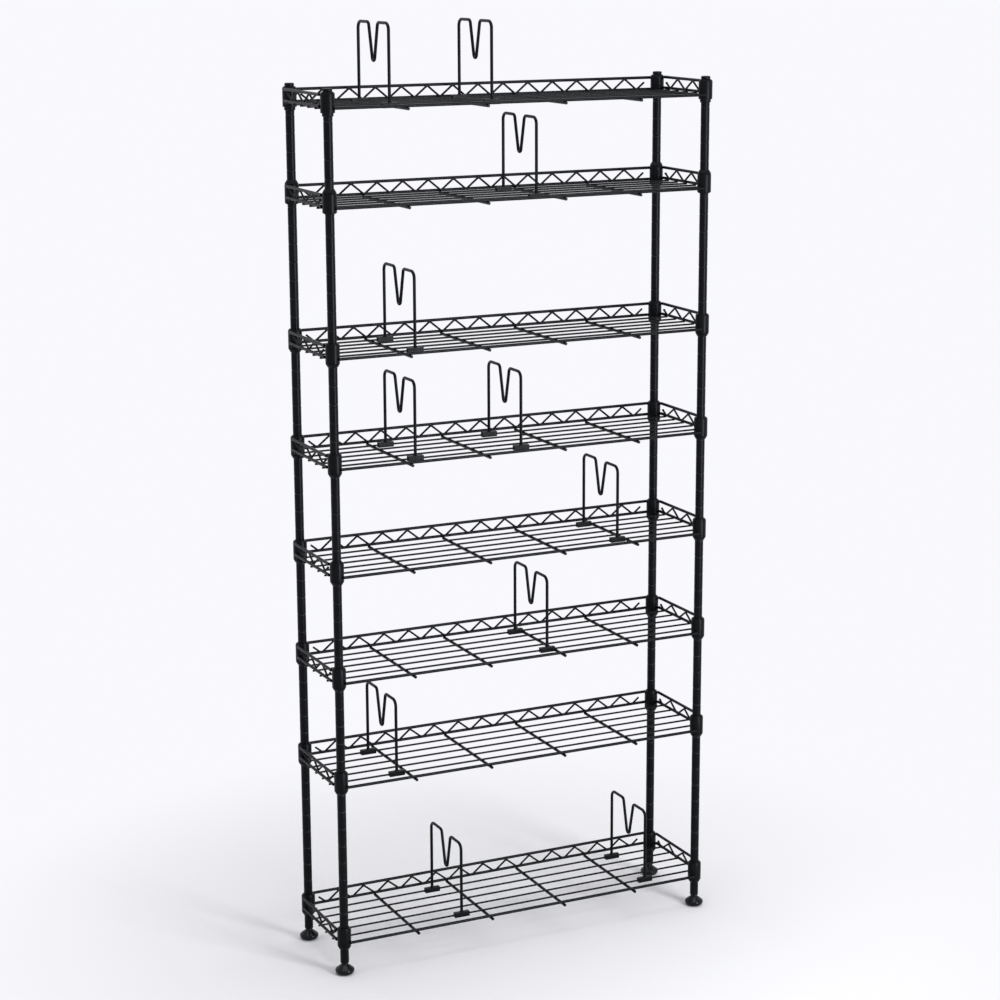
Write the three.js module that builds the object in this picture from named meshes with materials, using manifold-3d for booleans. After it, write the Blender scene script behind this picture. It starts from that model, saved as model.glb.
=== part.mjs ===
// Free-standing wire tower of eight shelves for disc and tape cases.
// Millimetres, +Z up, front towards -Y, origin under the middle of the footprint on the floor.

import * as THREE from "three";
import { mergeVertices } from "three/addons/utils/BufferGeometryUtils.js";
import Module from "manifold-3d";

const wasm = await Module();
wasm.setup();

// Layout of the tower: its height over the post caps and the distances between post axes. The bays
// between the shelves are counted in steps of the posts' grooves
const towerHeight = 1270;
const postSpacingAcross = 584;
const postSpacingDeep = 142;
const bottomShelfHeight = 50;
const topBaySteps = 5.2;
const tallBaySteps = 8;
const discBaySteps = 6;
const discBays = 4;
const bottomBaySteps = 9.2;
const turnedSides = 10;

// Posts: steel tubes with a threaded insert below and a domed cap above
const postRadius = 6.35;
const postWall = 1.2;
const postEndHeight = 17;
const insertLength = 14;
const capLip = 0.5;
const capRimHeight = 2.4;
const capDomeHeight = 1.6;
const capDomeShare = 0.6;
const capTopAboveCollar = 6;

// Levelling feet: a moulded bowl with a sloping top, on a nut and a stud
const footRadius = 14;
const footBaseRadius = 8;
const footRimHeight = 6;
const footShoulderRadius = 12.7;
const footShoulderHeight = 8.8;
const footHeight = 14.4;
const footSides = 20;
const nutRadius = 5.4;
const nutGap = 0.3;
const studRadius = 3;
const studClearance = 0.3;
const studReach = 40;

// Sleeves: plastic rings wedged between a post and a collar, flared where they stand clear of it
const sleeveClearance = 0.3;
const sleeveWall = 1.75;
const sleeveShow = 1.2;
const sleeveFlare = 1.4;
const sleeveTaper = 5;
const sleeveLipWall = 0.6;
const shoulderGap = 0.3;
const topSleeveStep = 5.3;
const topSleeveStepWall = 1.25;

// Collars of a shelf, measured from the centre line of its front rod
const collarWall = 1.3;
const collarBelow = 6.5;
const collarAbove = 20.5;

// Rods and wires of a shelf
const rodRadius = 2.2;
const thinRadius = 1.4;
const crossRadius = 2.2;
const trussRadius = 1.5;
const wireSides = 4;
const weldBite = 0.55;
const rodBite = 2.7;
const trussGap = 0.05;
const backRailDrop = 3.5;
const sideRailDrop = 2.5;
const thinWires = 5;
const thinOverhang = 2.5;
const crossBays = 5;
const endBayShare = 0.933;
const crossOverhangFront = 5;
const crossOverhangBack = 1.4;
const trussPeriodsPerBay = 3;
const sideTrussPeriods = 3.25;
const sideTrussStartShare = 1.33;
const trussPeakDrop = 1;
const tickShare = 0.65;
const sideTickShare = 0.5;

// Dividers: a bent wire with a plastic clip at each foot
const dividerRadius = 2.2;
const dividerHeight = 110;
const dividerShoulder = 9.5;
const dividerInnerBend = 6;
const dividerNotchDepth = 66.5;
const dividerNotchBend = 4.5;
const dividerHumpShare = 0.35;
const bendSteps = 2;
const notchSteps = 3;
const clipLength = 24;
const clipWall = 1.7;
const clipRoof = 2.4;
const clipSkirt = 2;
const clipClearance = 0.3;
const clipStopGap = 0.3;

// Where each divider stands: its shelf counted from the top, its bay between two cross wires
// counted from the left, and how far along its travel in that bay
const dividerPlaces = [
  { name: "divider_1_left", shelf: 1, bay: 0, travelShare: 1 },
  { name: "divider_1_right", shelf: 1, bay: 2, travelShare: 0.058 },
  { name: "divider_2", shelf: 2, bay: 2, travelShare: 0.816 },
  { name: "divider_3", shelf: 3, bay: 1, travelShare: 0.049 },
  { name: "divider_4_left", shelf: 4, bay: 1, travelShare: 0.031 },
  { name: "divider_4_right", shelf: 4, bay: 2, travelShare: 0.538 },
  { name: "divider_5", shelf: 5, bay: 3, travelShare: 0.962 },
  { name: "divider_6", shelf: 6, bay: 2, travelShare: 1 },
  { name: "divider_7", shelf: 7, bay: 0, travelShare: 0.957 },
  { name: "divider_8_left", shelf: 8, bay: 1, travelShare: 0.754 },
  { name: "divider_8_right", shelf: 8, bay: 4, travelShare: 0.216 },
];

// Radii that follow from what passes through what
const sleeveInnerRadius = postRadius + sleeveClearance;
const sleeveOuterRadius = sleeveInnerRadius + sleeveWall;
const collarInnerRadius = sleeveOuterRadius + sleeveClearance;
const collarOuterRadius = collarInnerRadius + collarWall;
const insertBoreRadius = studRadius + studClearance;

// Heights of the wires of a shelf from the centre line of its front rod
const crossLevel = weldBite - rodRadius - crossRadius;
const thinLevel = crossLevel + crossRadius + thinRadius - weldBite;
const sideRodLevel = thinLevel + thinRadius + rodRadius - weldBite;
const backRailLevel = collarAbove - backRailDrop;
const sideRailLevel = collarAbove - sideRailDrop;

// Plan of a shelf
const halfAcross = postSpacingAcross / 2;
const halfDeep = postSpacingDeep / 2;
const rodOffset = collarOuterRadius + rodRadius - rodBite;
const rodY = halfDeep + rodOffset;
const sideRodX = halfAcross + rodOffset;
const trussInset = rodRadius + trussRadius + trussGap;
const facetShare = Math.cos(Math.PI / turnedSides);
const weldRadius = (collarInnerRadius + collarOuterRadius * facetShare) / 2;
const rodEndInset = Math.sqrt(weldRadius ** 2 - (rodOffset - rodRadius) ** 2);
const crossPitch = postSpacingAcross / (crossBays - 2 + 2 * endBayShare);
const thinPitch = (2 * rodY) / (thinWires + 1);
const trussPeriod = crossPitch / trussPeriodsPerBay;
const outerThinY = (thinPitch * (thinWires - 1)) / 2;

// Shelf heights from the top down
const topShelfHeight = towerHeight - capTopAboveCollar - collarAbove;
const baySteps = [topBaySteps, tallBaySteps, ...Array(discBays).fill(discBaySteps), bottomBaySteps];
const grooveStep = (topShelfHeight - bottomShelfHeight) / baySteps.reduce((sum, steps) => sum + steps);
const shelfHeights = baySteps.reduce(
  (heights, steps) => [...heights, heights.at(-1) - steps * grooveStep],
  [topShelfHeight]
);

// The cross wires reach further forward than anything reaches back, so the middle lies off the posts
const frontReach = rodY + crossOverhangFront;
const frontEdge = Math.max(frontReach, halfDeep + footRadius);
const backEdge = Math.max(rodY + rodRadius, halfDeep + footRadius);
const footprintShift = (frontEdge - backEdge) / 2;

const corners = [
  { name: "front_left", x: -halfAcross, y: -halfDeep },
  { name: "front_right", x: halfAcross, y: -halfDeep },
  { name: "back_left", x: -halfAcross, y: halfDeep },
  { name: "back_right", x: halfAcross, y: halfDeep },
];

// Closed geometry with shared corners and no collapsed triangles
function closed(source) {
  const bare = source.clone();
  bare.deleteAttribute("normal");
  bare.deleteAttribute("uv");
  const merged = mergeVertices(bare);
  const kept = [];
  const index = merged.index.array;
  for (let i = 0; i < index.length; i += 3) {
    const [a, b, c] = [index[i], index[i + 1], index[i + 2]];
    if (a !== b && b !== c && c !== a) {
      kept.push(a, b, c);
    }
  }
  merged.setIndex(kept);
  merged.computeVertexNormals();
  return merged;
}

// Join of several closed geometries as one
function welded(pieces) {
  const solids = pieces.map((piece) => {
    const shape = closed(piece);
    const vertProperties = new Float32Array(shape.attributes.position.array);
    const triVerts = new Uint32Array(shape.index.array);
    return new wasm.Manifold(new wasm.Mesh({ numProp: 3, vertProperties, triVerts }));
  });
  const mesh = solids.reduce((whole, solid) => whole.add(solid)).getMesh();
  const joined = new THREE.BufferGeometry();
  joined.setAttribute("position", new THREE.BufferAttribute(mesh.vertProperties, 3));
  joined.setIndex(new THREE.BufferAttribute(mesh.triVerts, 1));
  joined.computeVertexNormals();
  return joined;
}

// Solid of revolution about Z from [radius, height] pairs that run up the outside
function turned(profile, closesOnItself = false, sides = turnedSides) {
  const points = profile.map(([radius, height]) => new THREE.Vector2(radius, height));
  if (closesOnItself) {
    points.push(points[0].clone());
  }
  return new THREE.LatheGeometry(points, sides).rotateX(Math.PI / 2);
}

// Wire along a flat path: rings of corners in the mitre planes, with flat ends
function bentWire(path, planeNormal, radius) {
  const vertices = [];
  const faces = [];
  const last = path.length - 1;
  path.forEach((point, i) => {
    const into = path[Math.max(i, 1)].clone().sub(path[Math.max(i - 1, 0)]).normalize();
    const out = path[Math.min(i + 1, last)].clone().sub(path[Math.min(i, last - 1)]).normalize();
    const bisector = into.clone().add(out).normalize();
    const side = bisector.clone().cross(planeNormal);
    const stretch = 1 / bisector.dot(into);
    for (let k = 0; k < wireSides; k += 1) {
      const angle = (2 * Math.PI * k) / wireSides;
      const corner = point.clone();
      corner.addScaledVector(planeNormal, radius * Math.cos(angle));
      corner.addScaledVector(side, radius * stretch * Math.sin(angle));
      vertices.push(corner.x, corner.y, corner.z);
    }
  });
  for (let i = 0; i < last; i += 1) {
    for (let k = 0; k < wireSides; k += 1) {
      const next = (k + 1) % wireSides;
      const [a, b] = [i * wireSides + k, i * wireSides + next];
      faces.push(a, b, b + wireSides, a, b + wireSides, a + wireSides);
    }
  }
  for (let k = 1; k < wireSides - 1; k += 1) {
    faces.push(0, k + 1, k);
    faces.push(last * wireSides, last * wireSides + k, last * wireSides + k + 1);
  }
  const wire = new THREE.BufferGeometry();
  wire.setAttribute("position", new THREE.Float32BufferAttribute(vertices, 3));
  wire.setIndex(faces);
  return wire;
}

const upward = new THREE.Vector3(0, 0, 1);
const forward = new THREE.Vector3(0, 1, 0);
const sideways = new THREE.Vector3(1, 0, 0);

// Straight level wire between two points of one height
function levelWire(fromX, fromY, toX, toY, level, radius) {
  const path = [new THREE.Vector3(fromX, fromY, level), new THREE.Vector3(toX, toY, level)];
  return bentWire(path, upward, radius);
}

// Path through points, each rounded by an arc of its own radius
function roundedPath(points, steps) {
  const path = [];
  points.forEach(({ at, bend = 0, arcSteps = steps }, i) => {
    if (bend === 0) {
      path.push(at);
      return;
    }
    const back = points[i - 1].at.clone().sub(at).normalize();
    const ahead = points[i + 1].at.clone().sub(at).normalize();
    const halfAngle = back.angleTo(ahead) / 2;
    const centre = at.clone();
    centre.addScaledVector(back.clone().add(ahead).normalize(), bend / Math.sin(halfAngle));
    const start = at.clone().addScaledVector(back, bend / Math.tan(halfAngle)).sub(centre);
    const end = at.clone().addScaledVector(ahead, bend / Math.tan(halfAngle)).sub(centre);
    const turn = start.angleTo(end);
    for (let step = 0; step <= arcSteps; step += 1) {
      const share = step / arcSteps;
      const point = centre.clone();
      point.addScaledVector(start, Math.sin((1 - share) * turn) / Math.sin(turn));
      point.addScaledVector(end, Math.sin(share * turn) / Math.sin(turn));
      path.push(point);
    }
  });
  return path;
}

// Post tube with its insert and cap, standing on the post axis
function postShape() {
  const rimTop = towerHeight - capDomeHeight;
  const capBottom = rimTop - capRimHeight;
  const insertTop = postEndHeight + insertLength;
  const boreRadius = postRadius - postWall;
  return closed(
    turned([
      [0, capBottom],
      [boreRadius, capBottom],
      [boreRadius, insertTop],
      [insertBoreRadius, insertTop],
      [insertBoreRadius, postEndHeight],
      [postRadius, postEndHeight],
      [postRadius, capBottom],
      [postRadius + capLip, capBottom],
      [postRadius + capLip, rimTop],
      [(postRadius + capLip) * capDomeShare, towerHeight - capDomeHeight * (1 - capDomeShare)],
      [0, towerHeight],
    ])
  );
}

// Foot with its nut and stud, standing on the floor
function footShape() {
  const nutTop = postEndHeight - nutGap;
  const bowlWidth = (footRadius - footBaseRadius) * Math.SQRT1_2;
  const bowlDepth = footRimHeight * (1 - Math.SQRT1_2);
  const profile = [
    [0, 0],
    [footBaseRadius, 0],
    [footBaseRadius + bowlWidth, bowlDepth],
    [footRadius, footRimHeight],
    [footShoulderRadius, footShoulderHeight],
    [nutRadius, footHeight],
    [nutRadius, nutTop],
    [studRadius, nutTop],
    [studRadius, studReach],
    [0, studReach],
  ];
  return closed(turned(profile, false, footSides));
}

// Sleeve with a flare below its collar, measured from the centre line of its shelf's front rod
function sleeveShape() {
  const shoulder = -collarBelow - shoulderGap;
  const top = collarAbove + sleeveShow;
  const profile = [
    [sleeveInnerRadius, shoulder - sleeveTaper],
    [sleeveInnerRadius + sleeveLipWall, shoulder - sleeveTaper],
    [sleeveOuterRadius + sleeveFlare, shoulder],
    [sleeveOuterRadius, shoulder],
    [sleeveOuterRadius, top],
    [sleeveInnerRadius, top],
  ];
  return closed(turned(profile, true));
}

// The same sleeve upside down, its flare above the collar
function flippedSleeveShape() {
  return sleeveShape().rotateX(Math.PI).translate(0, 0, collarAbove - collarBelow);
}

// Sleeve of the top shelf, with a step below the collar instead of a flare
function topSleeveShape() {
  const stepRadius = sleeveInnerRadius + topSleeveStepWall;
  const top = collarAbove + sleeveShow;
  const profile = [
    [sleeveInnerRadius, -collarBelow - topSleeveStep],
    [stepRadius, -collarBelow - topSleeveStep],
    [stepRadius, -collarBelow],
    [sleeveOuterRadius, -collarBelow],
    [sleeveOuterRadius, top],
    [sleeveInnerRadius, top],
  ];
  return closed(turned(profile, true));
}

function collar(corner) {
  const profile = [
    [collarInnerRadius, -collarBelow],
    [collarOuterRadius, -collarBelow],
    [collarOuterRadius, collarAbove],
    [collarInnerRadius, collarAbove],
  ];
  return turned(profile, true).translate(corner.x, corner.y, 0);
}

// Front rod, back rod and rail, and a rod and a rail on each side, all welded to the collars
function frameRods() {
  const endX = halfAcross - rodEndInset;
  const endY = halfDeep - rodEndInset;
  const rods = [
    levelWire(-endX, -rodY, endX, -rodY, 0, rodRadius),
    levelWire(-endX, rodY, endX, rodY, 0, rodRadius),
    levelWire(-endX, rodY, endX, rodY, backRailLevel, rodRadius),
  ];
  for (const x of [-sideRodX, sideRodX]) {
    rods.push(levelWire(x, -endY, x, endY, sideRodLevel, rodRadius));
    rods.push(levelWire(x, -endY, x, endY, sideRailLevel, rodRadius));
  }
  return rods;
}

// Place across of the cross wire on the left of a bay. The two end bays have none on their outside
function bayStart(bay) {
  return (bay - crossBays / 2) * crossPitch;
}

// Thin wires across the shelf and the thicker wires below them from front to back
function floorWires() {
  const wires = [];
  const thinEnd = sideRodX + thinOverhang;
  for (let i = 0; i < thinWires; i += 1) {
    const y = outerThinY - i * thinPitch;
    wires.push(levelWire(-thinEnd, y, thinEnd, y, thinLevel, thinRadius));
  }
  for (let bay = 1; bay < crossBays; bay += 1) {
    const x = bayStart(bay);
    wires.push(levelWire(x, -frontReach, x, rodY + crossOverhangBack, crossLevel, crossRadius));
  }
  return wires;
}

// Zigzag wire of the back, every third bend resting on the end of a cross wire
function backTruss() {
  const peak = backRailLevel - trussPeakDrop;
  const halfPeriod = trussPeriod / 2;
  const bendReach = trussRadius / Math.cos(Math.atan(peak / halfPeriod));
  const valley = crossLevel + crossRadius - weldBite + bendReach;
  const tickHeight = valley + (peak - valley) * tickShare;
  const tickRun = halfPeriod * tickShare;
  const y = rodY - trussInset;
  const lastBend = crossBays * trussPeriodsPerBay - 2;
  const path = [];
  for (let i = -lastBend; i <= lastBend; i += 1) {
    path.push(new THREE.Vector3(i * halfPeriod, y, i % 2 === 0 ? peak : valley));
  }
  path.unshift(new THREE.Vector3(path[0].x - tickRun, y, tickHeight));
  path.push(new THREE.Vector3(path.at(-1).x + tickRun, y, tickHeight));
  return bentWire(path, forward, trussRadius);
}

// Zigzag wire of one side. It starts free, near the front on the left and near the back on the right,
// and its other end is welded to a collar
function sideTruss(side) {
  const peak = sideRailLevel - trussPeakDrop;
  const valley = sideRodLevel;
  const rise = peak - valley;
  const halfPeriod = postSpacingDeep / sideTrussPeriods / 2;
  const x = sideRodX - trussInset;
  const collarReach = Math.sqrt(weldRadius ** 2 - (x - trussRadius - halfAcross) ** 2);
  const at = (run, height) => new THREE.Vector3(side * x, side * (halfDeep - run), height);
  const firstRun = sideTrussStartShare * halfPeriod;
  const lastBend = Math.floor(sideTrussPeriods) * 2 - 2;
  const path = [at(firstRun - halfPeriod * sideTickShare, valley + rise * sideTickShare)];
  for (let i = 0; i <= lastBend; i += 1) {
    path.push(at(firstRun + i * halfPeriod, i % 2 === 0 ? valley : peak));
  }
  const endRun = postSpacingDeep - collarReach;
  const endShare = (endRun - firstRun) / halfPeriod - lastBend;
  path.push(at(endRun, valley + rise * endShare));
  return bentWire(path, sideways, trussRadius);
}

function shelfShape() {
  const collars = corners.map(collar);
  return welded([...collars, ...frameRods(), ...floorWires(), backTruss(), sideTruss(-1), sideTruss(1)]);
}

// Channel that straddles an outer thin wire, open below
function dividerClip(y) {
  const slot = thinRadius + clipClearance;
  const outer = slot + clipWall;
  const bottom = -thinRadius - clipSkirt;
  const outline = new THREE.Shape();
  outline.moveTo(-outer, bottom);
  outline.lineTo(-slot, bottom);
  outline.lineTo(-slot, slot);
  outline.lineTo(slot, slot);
  outline.lineTo(slot, bottom);
  outline.lineTo(outer, bottom);
  outline.lineTo(outer, slot + clipRoof);
  outline.lineTo(-outer, slot + clipRoof);
  const block = new THREE.ExtrudeGeometry(outline, { depth: clipLength, bevelEnabled: false });
  block.translate(0, 0, -clipLength / 2).rotateX(Math.PI / 2).rotateZ(Math.PI / 2);
  return block.translate(0, y, thinLevel);
}

// Bent wire with two humps and a deep notch between them, on its two clips
function dividerShape() {
  const legY = outerThinY;
  const root = thinLevel + thinRadius + clipClearance + clipRoof / 2;
  const crown = thinLevel + dividerHeight;
  const notchY = legY - 2 * legY * dividerHumpShare;
  const at = (y, z) => new THREE.Vector3(0, y, z);
  const path = roundedPath(
    [
      { at: at(-legY, root) },
      { at: at(-legY, crown), bend: dividerShoulder },
      { at: at(-notchY, crown), bend: dividerInnerBend },
      { at: at(0, crown - dividerNotchDepth), bend: dividerNotchBend, arcSteps: notchSteps },
      { at: at(notchY, crown), bend: dividerInnerBend },
      { at: at(legY, crown), bend: dividerShoulder },
      { at: at(legY, root) },
    ],
    bendSteps
  );
  return welded([bentWire(path, sideways, dividerRadius), dividerClip(-legY), dividerClip(legY)]);
}

// Travel of a divider in its bay, from stop to stop, as places of its middle
function dividerTravel(bay) {
  const stop = crossRadius + clipStopGap + clipLength / 2;
  const sideStop = sideRodX - trussInset - trussRadius - clipStopGap - clipLength / 2;
  const left = bay === 0 ? -sideStop : bayStart(bay) + stop;
  const right = bay === crossBays - 1 ? sideStop : bayStart(bay + 1) - stop;
  return { left, right };
}

const finishes = {
  coatedSteel: { color: 0x1a1a1d, roughness: 0.36, metalness: 0.65 },
  sleevePlastic: { color: 0x111113, roughness: 0.45, metalness: 0 },
  footPlastic: { color: 0x0b0b0c, roughness: 0.22, metalness: 0 },
};

function addPiece(group, name, geometry, finish, x, y, z) {
  const material = new THREE.MeshStandardMaterial({ ...finishes[finish], flatShading: true });
  const piece = new THREE.Mesh(geometry, material);
  piece.name = name;
  piece.position.set(x, y, z);
  group.add(piece);
}

const tower = new THREE.Group();
const assembly = new THREE.Group();
assembly.position.y = footprintShift;
tower.add(assembly);

const shelf = shelfShape();
const divider = dividerShape();
const post = postShape();
const foot = footShape();
const plainSleeve = sleeveShape();
const unusualSleeves = { 1: topSleeveShape(), 2: flippedSleeveShape() };

shelfHeights.forEach((height, i) => {
  const number = i + 1;
  addPiece(assembly, `shelf_${number}`, shelf, "coatedSteel", 0, 0, height);
  for (const corner of corners) {
    const name = `sleeve_${number}_${corner.name}`;
    addPiece(assembly, name, unusualSleeves[number] ?? plainSleeve, "sleevePlastic", corner.x, corner.y, height);
  }
});

for (const corner of corners) {
  addPiece(assembly, `post_${corner.name}`, post, "coatedSteel", corner.x, corner.y, 0);
  addPiece(assembly, `foot_${corner.name}`, foot, "footPlastic", corner.x, corner.y, 0);
}

for (const place of dividerPlaces) {
  const { left, right } = dividerTravel(place.bay);
  const x = left + (right - left) * place.travelShare;
  addPiece(assembly, place.name, divider, "coatedSteel", x, 0, shelfHeights[place.shelf - 1]);
}

export default tower;
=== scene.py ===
"""Looks of a black wire storage tower.

Round welded wires, grooved posts, moulded split sleeves, levelling feet and sliding dividers. Lengths
are in metres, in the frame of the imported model: +Z up, front towards -Y.
"""

import math

import bpy
from mathutils import Matrix, Vector


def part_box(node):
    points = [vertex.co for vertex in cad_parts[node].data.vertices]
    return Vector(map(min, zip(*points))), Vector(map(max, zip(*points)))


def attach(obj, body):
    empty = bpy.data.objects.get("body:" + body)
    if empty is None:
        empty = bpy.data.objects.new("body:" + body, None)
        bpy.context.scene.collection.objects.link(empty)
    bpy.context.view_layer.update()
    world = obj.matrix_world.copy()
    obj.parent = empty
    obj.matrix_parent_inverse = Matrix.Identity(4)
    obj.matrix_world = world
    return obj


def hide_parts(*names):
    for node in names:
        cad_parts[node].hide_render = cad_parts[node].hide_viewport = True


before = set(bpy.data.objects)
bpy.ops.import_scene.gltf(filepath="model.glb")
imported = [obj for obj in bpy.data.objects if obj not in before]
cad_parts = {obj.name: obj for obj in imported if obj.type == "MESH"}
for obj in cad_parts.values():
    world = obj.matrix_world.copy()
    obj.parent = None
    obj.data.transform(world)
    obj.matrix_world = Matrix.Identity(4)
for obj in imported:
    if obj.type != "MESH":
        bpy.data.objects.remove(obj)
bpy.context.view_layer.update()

MM = 0.001

# Wires of a shelf, with heights counted from the centre line of its front rod
WIRE_END_ROUND_SHARE = 0.22
ROD_RADIUS = 2.2 * MM
THIN_RADIUS = 1.4 * MM
CROSS_RADIUS = 2.2 * MM
TRUSS_RADIUS = 1.5 * MM
WELD_BITE = 0.55 * MM
ROD_BITE = 2.7 * MM
TRUSS_BITE = 0.3 * MM
BACK_RAIL_DROP = 3.5 * MM
SIDE_RAIL_DROP = 2.5 * MM
THIN_WIRES = 5
THIN_OVERHANG = 2.5 * MM
CROSS_BAYS = 5
END_BAY_SHARE = 0.933
CROSS_OVERHANG_FRONT = 5.0 * MM
CROSS_OVERHANG_BACK = 1.4 * MM
TRUSS_PERIODS_PER_BAY = 3
SIDE_TRUSS_PERIODS = 3.25
SIDE_TRUSS_START_SHARE = 1.33
TRUSS_PEAK_DROP = 1.0 * MM
TRUSS_BEND = 3.2 * MM
TICK_SHARE = 0.65
SIDE_TICK_SHARE = 0.5

# Collars
COLLAR_RADIUS = 10.0 * MM
COLLAR_WALL = 1.3 * MM
COLLAR_BELOW = 6.5 * MM
COLLAR_ABOVE = 20.5 * MM
COLLAR_CHAMFER = 1.1 * MM
COLLAR_RIM = ((0, 1.6), (0.3, 0.6), (0.75, 0))  # inwards and down from the upper corner, in chamfers
COLLAR_EDGE = 0.35 * MM
COLLAR_REACH = 7.6 * MM
ROD_END_INSET = 5.2 * MM

# Weld beads, as half sizes in X, Y and Z or in the direction that their name says
FRONT_ROD_BEAD = (2.6 * MM, 2.2 * MM, 2.6 * MM)
BACK_ROD_BEAD = (2.6 * MM, 0.9 * MM, 1.9 * MM)
SIDE_ROD_BEAD = (0.9 * MM, 2.6 * MM, 1.9 * MM)
ROD_BEAD_INSET = 1.2 * MM
THIN_END_BEAD = (1.5 * MM, 1.7 * MM, 0.9 * MM)
THIN_CROSS_BEAD = (1.9 * MM, 1.6 * MM, 0.8 * MM)
THIN_CROSS_BEAD_DROP = 0.2 * MM
ROD_CROSS_BEAD = (1.9 * MM, 1.9 * MM, 0.9 * MM)
ROD_CROSS_BEAD_DROP = 0.25 * MM
TRUSS_BEAD_LONG = 2.2 * MM
TRUSS_BEAD_THICK = 0.6 * MM
TRUSS_BEAD_HIGH = 1.0 * MM
TRUSS_BEAD_SINK = 0.1 * MM
TRUSS_BEAD_ABOVE_ROD = 0.6 * MM
TRUSS_BEAD_BELOW_RAIL = 0.9 * MM
TRUSS_END_BEAD = (1.9 * MM, 1.9 * MM, 1.9 * MM)
BACK_TRUSS_VALLEY = -0.1 * MM
SIDE_TRUSS_VALLEY_RISE = 0.1 * MM

# Posts and caps
POST_RADIUS = 6.35 * MM
POST_WALL = 1.2 * MM
POST_END_ROUND = 0.9 * MM
POST_END_ROUND_DEGREES = 60
POST_EDGE = 0.3 * MM
GROOVES_SHELF_3_TO_7 = 24
GROOVE_ABOVE_ROD = 13.7 * MM
GROOVE_DEPTH = 0.32 * MM
GROOVE_WIDTH = 1.3 * MM
GROOVE_LIP = 0.25 * MM
GROOVE_SLOPE = 0.35 * MM
GROOVE_MARGIN = 1.0 * MM
GROOVE_SHOULDER_SHARE = 0.35
CAP_HEIGHT = 4.0 * MM
CAP_LIP = 0.45 * MM
CAP_ROUND = 1.5 * MM
CAP_ROUND_DEGREES = 75
CAP_EDGE = 0.25 * MM
CAP_CROWN_SHARE = 0.5
CAP_CROWN_DROP = 0.06 * MM
CAP_TOP_SHARE = 0.2
INSERT_BORE = 3.3 * MM
INSERT_LENGTH = 14.0 * MM
INSERT_INSET = 0.1 * MM
INSERT_CHAMFER = 0.3 * MM

# Sleeves
SLEEVE_INNER = 6.6 * MM
SLEEVE_OUTER = 8.4 * MM
SLEEVE_FLARE_RADIUS = 9.8 * MM
SLEEVE_LIP = 7.25 * MM
SLEEVE_TAPER = 5.0 * MM
SLEEVE_EDGE = 0.3 * MM
SLEEVE_SEAM = 0.35 * MM
TOP_SLEEVE_STEP_RADIUS = 7.9 * MM
TOP_SLEEVE_CHAMFER = 1.3 * MM
SLEEVE_RIM = ((0, 2), (1, 0.4), (2.2, 0))  # inwards and down from the upper corner, in edges

# Feet
FOOT_RADIUS = 13.98 * MM
FOOT_RIM_HEIGHT = 6.0 * MM
FOOT_SHOULDER_ROUND = 3.5 * MM
FOOT_SHOULDER_DEGREES = 50
FOOT_HEIGHT = 14.4 * MM
FOOT_HOLLOW = 0.5 * MM
FOOT_BASE_INSET = 1.6 * MM
FOOT_BASE_CHAMFER = 0.8 * MM
FOOT_NECK_STEP = 0.4 * MM
FOOT_NECK_RISE = 0.3 * MM
FOOT_COLLAR_EDGE = 0.2 * MM
NUT_GAP = 0.3 * MM
NUT_CHAMFER = 0.4 * MM
NUT_RADIUS = 5.4 * MM
STUD_RADIUS = 3.0 * MM
THREAD_PITCH = 1.25 * MM
THREAD_DEPTH = 0.35 * MM

# Dividers
DIVIDER_RADIUS = 2.2 * MM
DIVIDER_HEIGHT = 110.0 * MM
DIVIDER_SHOULDER = 9.5 * MM
DIVIDER_INNER_BEND = 6.0 * MM
DIVIDER_NOTCH_DEPTH = 66.5 * MM
DIVIDER_NOTCH_BEND = 4.5 * MM
DIVIDER_HUMP_SHARE = 0.35
CLIP_LENGTH = 24.0 * MM
CLIP_WALL = 1.7 * MM
CLIP_ROOF = 2.4 * MM
CLIP_SKIRT = 2.0 * MM
CLIP_CLEARANCE = 0.3 * MM
CLIP_EDGE = 0.45 * MM
CLIP_END_EDGE = 0.35 * MM
CLIP_LIP = 0.45 * MM
CLIP_SLOT_DEGREES = (215, -35)
CLIP_BOSS = 3.0 * MM
CLIP_BOSS_HEIGHT = 1.1 * MM
CLIP_BOSS_SINK = 0.8 * MM
CLIP_BOSS_CHAMFER = (0.4 * MM, 0.6 * MM)

# Finishes
FINE_RELIEF_DEPTH = 0.12 * MM
GLOSS_TINT = (0.86, 0.94, 1, 1)
CLOUD_GLOSS_RANGE = (0.3, 0.7)
CLOUD_COLOUR_RANGE = (0.35, 0.65)
CLOUD_DETAIL = 4
GRAIN_DETAIL = 2
ZINC_METALLIC = 0.7

# Fineness of the meshes
WIRE_SIDES = 14
TRUSS_SIDES = 10
BEAD_SIDES, BEAD_ROWS = 10, 6
SMALL_BEAD = {"sides": 8, "rows": 5}
LARGE_BEAD = {"sides": 12, "rows": 8}
TURNED_SEGMENTS = 40
SLEEVE_SEGMENTS = 22
FOOT_SEGMENTS = 56
CLIP_BOSS_SEGMENTS = 24
ARC_STEPS = 6
EDGE_STEPS = 3
TRUSS_BEND_STEPS = 5
DIVIDER_BEND_STEPS = 10
FOOT_RIM_STEPS = 10
FOOT_SHOULDER_STEPS = 7
CLIP_SLOT_STEPS = 10
SHARP_DEGREES = 38
TUBE_SHARP_DEGREES = 50
FOOT_SHARP_DEGREES = 45

UP = (0, 0, 1)

CORNERS = ("front_left", "front_right", "back_left", "back_right")
SHELVES = range(1, 9)


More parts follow.
